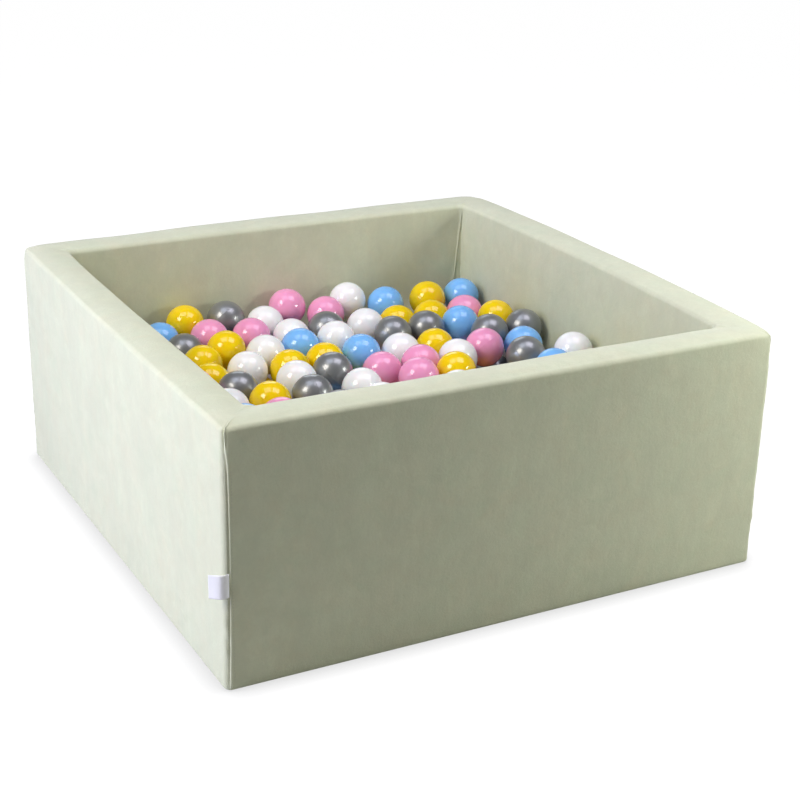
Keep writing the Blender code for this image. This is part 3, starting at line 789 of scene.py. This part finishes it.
def build_base():
    """The foam base, the pit's floor panel and the lining under it all."""
    low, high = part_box("foam_base")
    mesh = slab_mesh("foam_core_base", low, high, FOAM_SLAB_EDGE, cells=12, waviness=0.0, seed=1)
    piece = add_piece("foam_core_base", mesh, "foam", replaces=("foam_base",), smooth=False)
    low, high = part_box("cover_floor")
    high = Vector(high) - Vector((0, 0, FLOOR_SINK))
    mesh = slab_mesh("velvet_floor", low, high, CLOTH_SLAB_EDGE, cells=90, waviness=FLOOR_WAVINESS, seed=5)
    piece = add_piece("velvet_floor", mesh, "velvet", replaces=("cover_floor",))
    low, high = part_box("cover_underside")
    mesh = slab_mesh("lining_underside", low, high, CLOTH_SLAB_EDGE, cells=40, waviness=0.0, seed=6)
    piece = add_piece("lining_underside", mesh, "lining", replaces=("cover_underside",))


# Zip: looks of the pieces that keep their shape, and sizes of the teeth
ZIP_LOOKS = {
    "zip_tape_lower": "zip_tape",
    "zip_tape_upper": "zip_tape",
    "zip_slider": "zip_metal",
    "zip_pull": "zip_metal",
}
TOOTH_PITCH = 0.0022
TOOTH_EDGE = 0.00022
TOOTH_LENGTH_SHARE = 0.72
TOOTH_DEPTH_SHARE = 0.94
TOOTH_HEIGHT_SHARE = 0.97
TOOTH_TIP_SHARE = 0.72
TOOTH_SHIFT_SHARE = 0.25


def build_zip():
    """The zip's pieces keep the shapes of the CAD model, apart from the teeth."""
    for name, look in ZIP_LOOKS.items():
        materials = frame["nodes"][name].data.materials
        materials.clear()
        materials.append(MATERIALS[look])
    for name, lean in (("zip_teeth_lower", 1), ("zip_teeth_upper", -1)):
        low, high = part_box(name)
        build_teeth(name, low, high, lean)


def build_teeth(node, low, high, lean):
    """A row of small rounded teeth, each bent over the edge of its tape."""
    tall = high.z - low.z
    deep = high.y - low.y
    scale = (TOOTH_PITCH * TOOTH_LENGTH_SHARE, deep * TOOTH_DEPTH_SHARE, tall * TOOTH_HEIGHT_SHARE)
    shift = (0.5 - TOOTH_SHIFT_SHARE * lean) * TOOTH_PITCH
    bm = bmesh.new()
    for number in range(int((high.x - low.x) / TOOTH_PITCH)):
        made = bmesh.ops.create_cube(bm, size=1)["verts"]
        bmesh.ops.scale(bm, vec=scale, verts=made)
        place = Vector((low.x + number * TOOTH_PITCH + shift, (low.y + high.y) / 2, (low.z + high.z) / 2))
        bmesh.ops.translate(bm, vec=place, verts=made)
        for vert in made:
            if (vert.co.z > place.z) == (lean > 0):
                vert.co.y = place.y + (vert.co.y - place.y) * TOOTH_TIP_SHARE
    bmesh.ops.bevel(bm, geom=bm.edges[:], offset=TOOTH_EDGE, segments=1, affect="EDGES")
    name = node.replace("zip_teeth", "teeth")
    mesh = bpy.data.meshes.new(name)
    bm.to_mesh(mesh)
    bm.free()
    add_piece(name, mesh, "zip_chain", replaces=(node,), smooth=False)


# Tab: a ribbon folded in two, with its root at the seam of the front left corner
TAB_REACH = 0.0302
TAB_THICK = 0.0006
TAB_ROOT_GAP = 0.001
TAB_START = 0.0007
TAB_SHORT = 0.0016
TAB_TRIM = 0.0012
TAB_PARTING = 0.0013
TAB_LEAST_PARTING = 0.0004
TAB_DROOP_SHARE = 0.05
TAB_SWAY = 0.0006
TAB_SWAY_POWER = 1.5
TAB_STEPS = 26
TAB_FOLD_STEPS = 8
TAB_LEVELS = 24
# Turns in degrees: of the seam round the corner, of the ribbon at its root, and of its curl
TAB_SEAM_TURN = 250.0
TAB_TURN = 203.0
TAB_CURL = 66.0
TAB_CURL_SHARES = (0.06, 0.45)
TAB_CURL_PARTS = 24


def curl_place(x):
    """Middle line of the ribbon, which leaves the seam straight and then curls to the left wall."""
    place = Vector((0, 0, 0))
    for part in range(TAB_CURL_PARTS):
        share = (part + 0.5) / TAB_CURL_PARTS * x / TAB_REACH
        turn = math.radians(TAB_TURN - TAB_CURL * climb(share, *TAB_CURL_SHARES))
        place += Vector((math.cos(turn), math.sin(turn), 0)) * (x / TAB_CURL_PARTS)
    return place, Vector((-math.sin(turn), math.cos(turn), 0))


def tab_outline():
    """The ribbon from above: one layer out to the fold, round it, and the other layer back."""
    layer = []
    for step in range(TAB_STEPS + 1):
        share = step / TAB_STEPS
        open_by = TAB_LEAST_PARTING + TAB_PARTING * math.sin(math.pi * share) ** 2 * share
        layer.append((TAB_START + share * (TAB_REACH - TAB_SHORT), -open_by))
    end, beside = layer[-1]
    fold = []
    for angle in np.radians(np.linspace(-90, 90, TAB_FOLD_STEPS + 1)[1:-1]):
        fold.append((end + abs(beside) * math.cos(angle), -beside * math.sin(angle)))
    return layer + fold + [(x, -y) for x, y in reversed(layer)]


def build_tab():
    """A folded strip of ribbon: two layers that part a little towards the fold."""
    low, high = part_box("sewn_tab")
    corner = CORNER_RADIUS - HALF_SIDE
    seam = math.radians(TAB_SEAM_TURN)
    out = CORNER_RADIUS + TAB_ROOT_GAP
    root = Vector((corner + out * math.cos(seam), corner + out * math.sin(seam), (low.z + high.z) / 2))
    tall = high.z - low.z - TAB_TRIM
    bend = ripple(seed=21, count=6, shortest=0.02, longest=0.06)
    rows = []
    for level in range(TAB_LEVELS + 1):
        row = []
        for x, y in tab_outline():
            lift = (level / TAB_LEVELS - 0.5) * tall - TAB_DROOP_SHARE * x * x / TAB_REACH
            middle, across = curl_place(x)
            place = root + middle + across * y + Vector((0, 0, lift))
            sway = TAB_SWAY * (x / TAB_REACH) ** TAB_SWAY_POWER * float(bend(np.array(place)[None])[0])
            row.append(place + across * sway)
        rows.append(row)
    mesh = grid_mesh("tab", np.array(rows))
    piece = add_piece("ribbon_tab", mesh, "tab", body="tab", replaces=("sewn_tab",))
    thicken(piece, TAB_THICK, 0)


# Balls: segments and rings of the near and the hidden ones, and the moulding seam in degrees
FINE_RINGS = (56, 30)
PLAIN_RINGS = (28, 14)
BALL_SEAM_BAND = 3.0
BALL_SEAM_RINGS = (-2.2, -1.0, -0.35, 0.35, 1.0, 2.2)
BALL_RIDGE = 0.5
BALL_RIDGE_SHARE = 0.0045


def ring_angles(rings, seam):
    """Angles of a ball's rings over its middle, with closer ones at its moulding seam."""
    angles = list(np.linspace(-90, 90, rings + 1)[1:-1])
    if seam:
        angles = [angle for angle in angles if abs(angle) > BALL_SEAM_BAND]
        angles = sorted([*angles, *BALL_SEAM_RINGS])
    return angles


def ball_geometry(segments, rings, seam=False):
    """Vertices and faces of a ball of radius 1, with or without a raised line round its middle."""
    angles = ring_angles(rings, seam)
    turns = np.arange(segments) * 2 * math.pi / segments
    vertices = [(0.0, 0.0, -1.0)]
    for angle in angles:
        proud = 1.0 + (BALL_RIDGE_SHARE if seam and abs(angle) < BALL_RIDGE else 0.0)
        flat = proud * math.cos(math.radians(angle))
        rise = proud * math.sin(math.radians(angle))
        for turn in turns:
            vertices.append((flat * math.cos(turn), flat * math.sin(turn), rise))
    vertices.append((0.0, 0.0, 1.0))
    faces = []
    last = len(vertices) - 1
    for i in range(segments):
        j = (i + 1) % segments
        faces.append((0, 1 + j, 1 + i))
        for ring in range(len(angles) - 1):
            base = 1 + ring * segments
            faces.append((base + i, base + j, base + segments + j, base + segments + i))
        base = 1 + (len(angles) - 1) * segments
        faces.append((base + i, base + j, last))
    return np.array(vertices), faces


FINE_BALL = ball_geometry(*FINE_RINGS, seam=True)
PLAIN_BALL = ball_geometry(*PLAIN_RINGS)


def random_turn(rng):
    quaternion = rng.normal(size=4)
    quaternion /= np.linalg.norm(quaternion)
    w, x, y, z = quaternion
    return np.array([
        [1 - 2 * (y * y + z * z), 2 * (x * y - z * w), 2 * (x * z + y * w)],
        [2 * (x * y + z * w), 1 - 2 * (x * x + z * z), 2 * (y * z - x * w)],
        [2 * (x * z - y * w), 2 * (y * z + x * w), 1 - 2 * (x * x + y * y)],
    ])


def balls_mesh(name, places, geometry, rng):
    """One mesh with a ball at each place, each turned at random."""
    shape, faces = geometry
    vertices = []
    polygons = []
    for number, place in enumerate(places):
        start = number * len(shape)
        vertices.append(shape @ random_turn(rng).T * BALL_RADIUS + np.array(place))
        polygons.extend([tuple(start + corner for corner in face) for face in faces])
    return new_mesh(name, np.concatenate(vertices), polygons)


def middle_of(node):
    """Middle of a node's box."""
    low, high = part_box(node)
    return np.array((low + high) / 2)


# Finding the joined balls of the bed: corners of whole facets have long edges, and the middles
# that the corners of one ball point to lie close together
BED_WELD = 1e-5
WHOLE_EDGE = 0.006
LEAST_CORNERS = 4
CORNER_SHARE = 1.04
GUESS_CLOSE = 0.004
GUESS_REACH = 0.008
GUESS_APART = 0.03


def bed_middles():
    """Middles of the joined balls, from the corners of their facets that were left whole."""
    bm = bmesh.new()
    bm.from_mesh(frame["nodes"]["ball_bed"].data)
    bmesh.ops.remove_doubles(bm, verts=bm.verts, dist=BED_WELD)
    bm.normal_update()
    guesses = []
    for vert in bm.verts:
        lengths = [edge.calc_length() for edge in vert.link_edges]
        if len(lengths) >= LEAST_CORNERS and min(lengths) > WHOLE_EDGE:
            guesses.append(np.array(vert.co) - np.array(vert.normal) * BALL_RADIUS * CORNER_SHARE)
    bm.free()
    guesses = np.array(guesses)
    gaps = np.linalg.norm(guesses[:, None] - guesses[None], axis=2)
    middles = []
    free = np.ones(len(guesses), bool)
    for place in np.argsort(-(gaps < GUESS_CLOSE).sum(axis=1)):
        if free[place]:
            near = free & (gaps[place] < GUESS_REACH)
            if near.sum() >= LEAST_CORNERS:
                middles.append(guesses[near].mean(axis=0))
            free &= gaps[place] > GUESS_APART
    return np.array(middles)


def view_axes():
    """The camera's axes: ahead, to the right and upwards."""
    ahead = Vector((math.sin(VIEW_TURN) * math.cos(VIEW_FALL), math.cos(VIEW_TURN) * math.cos(VIEW_FALL),
                    -math.sin(VIEW_FALL)))
    across = Vector((math.cos(VIEW_TURN), -math.sin(VIEW_TURN), 0))
    up = across.cross(ahead)
    right = across * math.cos(VIEW_ROLL) + up * math.sin(VIEW_ROLL)
    top = -across * math.sin(VIEW_ROLL) + up * math.cos(VIEW_ROLL)
    return ahead, right, top


def photo_pixel(place):
    """Where a place shows in the photograph."""
    ahead, right, top = view_axes()
    offset = Vector(place) - (VIEW_TARGET - ahead * VIEW_DISTANCE)
    far = offset.dot(ahead)
    return (PHOTO_SIZE / 2 + PHOTO_FOCAL * offset.dot(right) / far,
            PHOTO_SIZE / 2 - PHOTO_FOCAL * offset.dot(top) / far)


def pushes(places, others):
    """Steps that take balls clear of the others, where they overlap."""
    offsets = places[:, None] - others[None]
    distances = np.maximum(np.linalg.norm(offsets, axis=2), GRID_TINY)
    overlap = np.clip(2 * BALL_RADIUS - distances, 0, None) / distances
    return (offsets * overlap[..., None]).sum(axis=1)


# The stacked balls behind the front wall: how many are left out, and how the rest shift
NEAR_EDGE = -0.17
NEAR_GAPS = 6
JOSTLE_ROUNDS = 60
JOSTLE_STEP = np.array([0.005, 0.005, 0.002])
JOSTLE_REACH = np.array([0.020, 0.020, 0.008])
JOSTLE_WALL_GAP = 0.0005
TOUCH_SLACK = 0.0003
ABOVE_GAP = 0.001


def jostle(places, still, loose, rng):
    """Shifts stacked balls a little at random, clear of the walls and of every other ball."""
    kept = np.sort(rng.permutation(len(places))[NEAR_GAPS:])
    places = places[kept]
    home = places.copy()
    free = INNER_HALF - BALL_RADIUS - JOSTLE_WALL_GAP
    clear = 2 * BALL_RADIUS - TOUCH_SLACK
    above = 2 * BALL_RADIUS + ABOVE_GAP
    home_gaps = np.minimum(np.linalg.norm((home[:, None] - loose[None])[..., :2], axis=2), above)
    for _ in range(JOSTLE_ROUNDS):
        for number in range(len(places)):
            trial = places[number] + rng.normal(size=3) * JOSTLE_STEP
            others = np.concatenate([np.delete(places, number, axis=0), still])
            if (
                np.abs(trial[:2]).max() < free
                and (np.abs(trial - home[number]) < JOSTLE_REACH).all()
                and np.linalg.norm(others - trial, axis=1).min() > clear
                and (np.linalg.norm((loose - trial)[:, :2], axis=1) >= home_gaps[number]).all()
            ):
                places[number] = trial
    return places


# The layers under the placed balls: how they start, sink and settle, and which are left out
HEAP_SEED = 7
HEAP_ROW = 11
HEAP_LAYERS = 4
HEAP_LAYER_RISE = 0.049
HEAP_SCATTER = 0.009
HEAP_WALL_GAP = 0.001
HEAP_TOP = 0.246
HEAP_START_SHARE = 1.25
HEAP_CLASH_SHARE = 1.93
HEAP_STEPS = 220
HEAP_SINKING_STEPS = 180
HEAP_SINK = 0.0004
HEAP_PUSH_SHARE = 0.6


def nearest(places, fixed):
    """Distance from each place to the nearest of the fixed ones."""
    return np.array([np.linalg.norm(fixed - place, axis=1).min() for place in places])


def fill_heap(fixed, loose):
    """Balls under and between the placed ones: loose layers that sink and jostle to rest."""
    rng = np.random.default_rng(HEAP_SEED)
    free = INNER_HALF - BALL_RADIUS - HEAP_WALL_GAP
    across = np.linspace(-free, free, HEAP_ROW)
    pitch = across[1] - across[0]
    starts = []
    for layer in range(HEAP_LAYERS):
        level = BASE_TOP + BALL_RADIUS + layer * HEAP_LAYER_RISE
        shifted = across + (layer % 2) * pitch / 2
        shifted = shifted[shifted <= free + GRID_TINY]
        starts += [(x, y, level) for x in shifted for y in shifted]
    places = np.array(starts)
    clear = nearest(places, fixed) > HEAP_START_SHARE * BALL_RADIUS
    places = places[clear] + rng.uniform(-HEAP_SCATTER, HEAP_SCATTER, (clear.sum(), 3))
    low = np.array([-free, -free, BASE_TOP + BALL_RADIUS])
    high = np.array([free, free, HEAP_TOP])
    for step in range(HEAP_STEPS):
        places[:, 2] -= HEAP_SINK if step < HEAP_SINKING_STEPS else 0.0
        places += (pushes(places, places) / 2 + pushes(places, fixed)) * HEAP_PUSH_SHARE
        places = np.clip(places, low, high)
    clash = nearest(places, fixed) < HEAP_CLASH_SHARE * BALL_RADIUS
    gaps = np.linalg.norm((places[:, None] - loose[None])[..., :2], axis=2)
    above = ((gaps < 2 * BALL_RADIUS) & (loose[:, 2] < places[:, None, 2])).any(axis=1)
    return places[~(clash | above)]


# Level over which the bed's balls can show, and how far off a photographed one may be in pixels
UPPER_LEVEL = 0.195
MATCH_REACH = 26
BALLS_SEED = 12


def match_half_hidden(balls):
    """Balls by the colour that the photo shows at their pixels, and those that it doesn't show."""
    pixels = np.array([(x, y) for _, x, y in HALF_HIDDEN])
    colours = {}
    taken = set()
    unseen = []
    for place in balls:
        gaps = np.linalg.norm(pixels - np.array(photo_pixel(place)), axis=1)
        best = int(np.argmin(gaps))
        if gaps[best] < MATCH_REACH and best not in taken:
            taken.add(best)
            colours.setdefault(HALF_HIDDEN[best][0], []).append(place)
        else:
            unseen.append(place)
    return colours, np.array(unseen)


def build_balls():
    """The loose balls on their own bodies, the upper balls of the bed, and the heap under them."""
    rng = np.random.default_rng(BALLS_SEED)
    loose_nodes = sorted(n for n in frame["nodes"] if n.startswith("ball_") and n != "ball_bed")
    body_of = {node: body for body, nodes in frame["record"]["behaviour"]["bodies"].items() for node in nodes}
    loose = np.array([middle_of(node) for node in loose_nodes])
    for node, place in zip(loose_nodes, loose):
        look = "ball_" + node.split("_")[1]
        mesh = balls_mesh(node + "_round", [place], FINE_BALL, rng)
        add_piece(node + "_round", mesh, look, body=body_of[node], replaces=(node,))

    names = list(COLOUR_SHARES)
    shares = np.array(list(COLOUR_SHARES.values()))
    shares = shares / shares.sum()
    bed = bed_middles()
    colours, unseen = match_half_hidden(bed[bed[:, 2] > UPPER_LEVEL])
    near = unseen[:, 1] < NEAR_EDGE
    seen = np.concatenate([loose, unseen[~near]] + [np.array(spots) for spots in colours.values()])
    near_balls = jostle(unseen[near], seen, loose, rng)
    for place in np.concatenate([unseen[~near], near_balls]):
        colours.setdefault(str(rng.choice(names, p=shares)), []).append(place)
    for colour in names:
        mesh = balls_mesh("upper_" + colour, colours[colour], FINE_BALL, rng)
        add_piece("upper_balls_" + colour, mesh, "ball_" + colour, replaces=("ball_bed",))

    filler = fill_heap(np.concatenate([seen, near_balls]), loose)
    picks = rng.choice(len(names), size=len(filler), p=shares)
    for number, colour in enumerate(names):
        mesh = balls_mesh("lower_" + colour, filler[picks == number], PLAIN_BALL, rng)
        add_piece("lower_balls_" + colour, mesh, "ball_" + colour, replaces=("ball_bed",))


# Studio: the floor's look to the camera and to other light, its contact shadow, and the world
FLOOR_HALF = 9.0
FLOOR_DROP = 0.0005
FLOOR_BOUNCE = (0.52, 0.52, 0.49, 1)
FLOOR_SHADED = (0.08, 0.08, 0.08, 1)
CONTACT_REACH = 0.045
CONTACT_SAMPLES = 24
CONTACT_SHARES = (0.5, 0.96)
GLOW_STRENGTHS = (0.74, 0.99)
WORLD_LIGHT = (0.95, 0.97, 1.0, 1)
WORLD_STRENGTH = 0.06
WHITE = (1, 1, 1, 1)


def split_rays(tree, kinds, lighting, seen):
    """Shows rays of the given kinds the second shader, and all others the first."""
    path = add_node(tree, "LightPath")
    chosen = path.outputs[kinds[0]]
    for kind in kinds[1:]:
        most = add_node(tree, "Math")
        most.operation = "MAXIMUM"
        tree.links.new(chosen, most.inputs[0])
        tree.links.new(path.outputs[kind], most.inputs[1])
        chosen = most.outputs[0]
    mix = add_node(tree, "MixShader")
    tree.links.new(chosen, mix.inputs["Fac"])
    tree.links.new(lighting.outputs[0], mix.inputs[1])
    tree.links.new(seen.outputs[0], mix.inputs[2])
    return mix.outputs[0]


def build_floor():
    """A pale floor: plain white to the camera, with a soft shadow where the pit stands on it."""
    corners = np.array([(-1, -1, 0), (1, -1, 0), (1, 1, 0), (-1, 1, 0)]) * FLOOR_HALF
    mesh = new_mesh("floor", corners, [(0, 1, 2, 3)])
    floor = add_object("floor", mesh)
    floor.location.z = -FLOOR_DROP
    material = bpy.data.materials.new("floor")
    material.use_nodes = True
    tree = material.node_tree
    tree.nodes.clear()
    output = add_node(tree, "OutputMaterial")
    bounce = add_node(tree, "BsdfDiffuse", Color=FLOOR_BOUNCE)
    shaded = add_node(tree, "BsdfDiffuse", Color=FLOOR_SHADED)
    near = add_node(tree, "AmbientOcclusion", Distance=CONTACT_REACH)
    near.samples = CONTACT_SAMPLES
    low, high = CONTACT_SHARES
    dim, bright = GLOW_STRENGTHS
    strength = add_node(tree, "MapRange", From_Min=low, From_Max=high, To_Min=dim, To_Max=bright)
    tree.links.new(near.outputs["AO"], strength.inputs["Value"])
    glow = add_node(tree, "Emission", Color=WHITE)
    tree.links.new(strength.outputs["Result"], glow.inputs["Strength"])
    both = add_node(tree, "AddShader")
    tree.links.new(shaded.outputs[0], both.inputs[0])
    tree.links.new(glow.outputs[0], both.inputs[1])
    kinds = ("Is Camera Ray", "Is Glossy Ray", "Is Transmission Ray")
    tree.links.new(split_rays(tree, kinds, bounce, both), output.inputs["Surface"])
    mesh.materials.append(material)


def build_world():
    """White behind the pit to the camera and through clear pieces, and a weak light otherwise."""
    world = bpy.data.worlds.new("studio")
    bpy.context.scene.world = world
    world.use_nodes = True
    tree = world.node_tree
    tree.nodes.clear()
    output = add_node(tree, "OutputWorld")
    light = add_node(tree, "Background", Color=WORLD_LIGHT, Strength=WORLD_STRENGTH)
    white = add_node(tree, "Background", Color=WHITE, Strength=1.0)
    kinds = ("Is Camera Ray", "Is Transmission Ray")
    tree.links.new(split_rays(tree, kinds, light, white), output.inputs["Surface"])


# Lamps: name, place, place lit, side, power and colour
MIDDLE = (0.0, 0.0, 0.2)
LAMPS = (
    ("left_high", (-2.30, -0.35, 2.30), MIDDLE, 1.2, 55.0, (1.0, 0.94, 0.86)),
    ("left_low", (-2.80, 0.10, 0.82), MIDDLE, 1.4, 46.7, (0.62, 0.70, 1.0)),
    ("left_foot", (-2.80, 0.10, 0.34), MIDDLE, 0.6, 19.5, (0.70, 0.62, 1.0)),
    ("right_near", (1.05, -0.90, 0.70), (0.5, -0.45, 0.25), 0.4, 8.5, (0.98, 1.0, 0.95)),
    ("right_top", (0.70, -0.30, 2.30), MIDDLE, 1.2, 22.0, (0.88, 0.85, 1.0)),
    ("left_top", (-0.60, 0.20, 2.50), MIDDLE, 1.2, 15.0, (0.77, 0.82, 1.0)),
    ("back_fill", (0.90, 2.70, 1.40), MIDDLE, 1.4, 14.0, (0.86, 0.92, 1.0)),
)


def add_softbox(name, place, aim, side, power, colour):
    """A square lamp that faces the place it is aimed at."""
    light = bpy.data.lights.new(name, "AREA")
    light.shape = "SQUARE"
    light.size = side
    light.energy = power
    light.color = colour
    lamp = add_object(name, light)
    lamp.location = place
    lamp.rotation_euler = (Vector(aim) - Vector(place)).to_track_quat("-Z", "Y").to_euler()


def build_camera():
    """The photograph's camera."""
    ahead, right, top = view_axes()
    data = bpy.data.cameras.new("camera")
    data.sensor_width = SENSOR
    data.lens = SENSOR * PHOTO_FOCAL / PHOTO_SIZE
    camera = add_object("camera", data)
    turn = Matrix((right, top, -ahead)).transposed().to_4x4()
    camera.matrix_world = Matrix.Translation(VIEW_TARGET - ahead * VIEW_DISTANCE) @ turn
    bpy.context.scene.camera = camera


for side in TURN:
    build_cover(side)
    build_stitches(side)
    build_foam(side)
build_base()
build_zip()
build_tab()
build_balls()
build_floor()
build_world()
for lamp in LAMPS:
    add_softbox(*lamp)
build_camera()
bpy.context.scene.view_settings.view_transform = "Standard"
